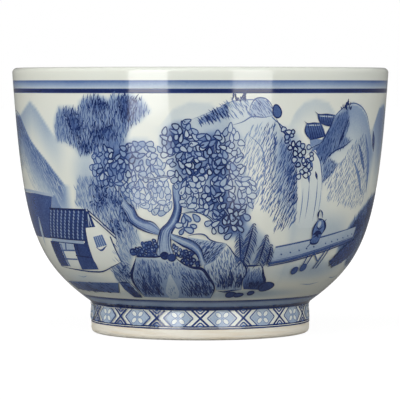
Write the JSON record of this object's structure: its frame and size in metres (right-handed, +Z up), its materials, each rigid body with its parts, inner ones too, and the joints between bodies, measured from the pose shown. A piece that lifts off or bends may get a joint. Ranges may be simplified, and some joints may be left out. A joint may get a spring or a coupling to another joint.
{
  "type": "teacup",
  "caption": "Footed porcelain teacup with a rounded wall, painted under the glaze in blue with a landscape, rim bands and a lattice foot.",
  "frame": {"origin": "centre of the plane that the foot stands on", "axes": "+Z up along the axis of the cup; -Y faces the side of the painting with the central tree"},
  "size_m": [0.0848, 0.0848, 0.0596],
  "materials": {
    "biscuit": "fired white porcelain biscuit, matt",
    "bare_foot": "bare fired foot edge, ivory, smoothed, matt",
    "slip": "fired slip, matt",
    "cobalt_dark": "dark cobalt line under the glaze",
    "cobalt_band": "broad cobalt band, darker at its upper edge",
    "cobalt_wash": "cobalt strokes and diluted washes",
    "cobalt_pale": "thin pale cobalt strokes",
    "glaze_outside": "clear glaze, high gloss, faint green tint",
    "glaze_inside": "clear glaze, high gloss, faint green tint",
    "glaze_base": "clear glaze, gloss, thin in the recess"
  },
  "bodies": {
    "root": {"bowl_body": "biscuit", "foot_ring": "bare_foot", "luting_slip": "slip", "foot_line": "cobalt_dark", "foot_lattice": "cobalt_pale", "joint_line": "cobalt_dark", "joint_wash": "cobalt_pale", "landscape_frieze": "cobalt_wash", "rim_line": "cobalt_dark", "rim_band": "cobalt_band", "outer_glaze": "glaze_outside", "inner_glaze": "glaze_inside", "base_glaze": "glaze_base"}
  },
  "joints": []
}
